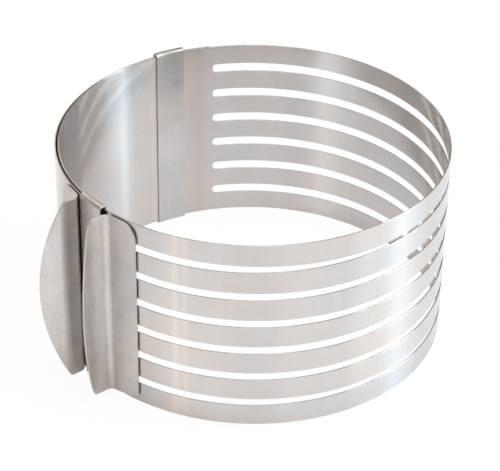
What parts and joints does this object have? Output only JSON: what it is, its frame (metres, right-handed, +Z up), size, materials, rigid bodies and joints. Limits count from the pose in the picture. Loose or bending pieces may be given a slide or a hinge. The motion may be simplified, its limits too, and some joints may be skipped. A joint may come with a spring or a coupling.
{
  "type": "adjustable cake ring",
  "caption": "Adjustable stainless-steel cake slicing ring: a slotted strip and a plain strip lap and slide round each other in hooked clips, pulled by folded grips.",
  "frame": {"origin": "bottom centre of the part's box, on the surface that it stands on", "axes": "+Z up along the ring's axis, -Y towards the two handles, +X to the right of someone facing the handles"},
  "size_m": [0.1622, 0.1786, 0.0875],
  "materials": {
    "band_steel": "fine brushed",
    "clip_steel": "fine brushed",
    "grip_steel": "brushed along the height"
  },
  "bodies": {
    "slotted_side": {"slotted_band": "band_steel", "back_clip": "clip_steel", "right_handle": "grip_steel"},
    "plain_side": {"plain_band": "band_steel", "front_clip": "clip_steel", "left_handle": "grip_steel"}
  },
  "joints": [
    {"name": "size_slide", "type": "hinge", "parent": "slotted_side", "child": "plain_side", "pos_m": [0.00083, 0.00905, 0], "axis": [0, 0, -1], "range_deg": [0, 45]}
  ]
}
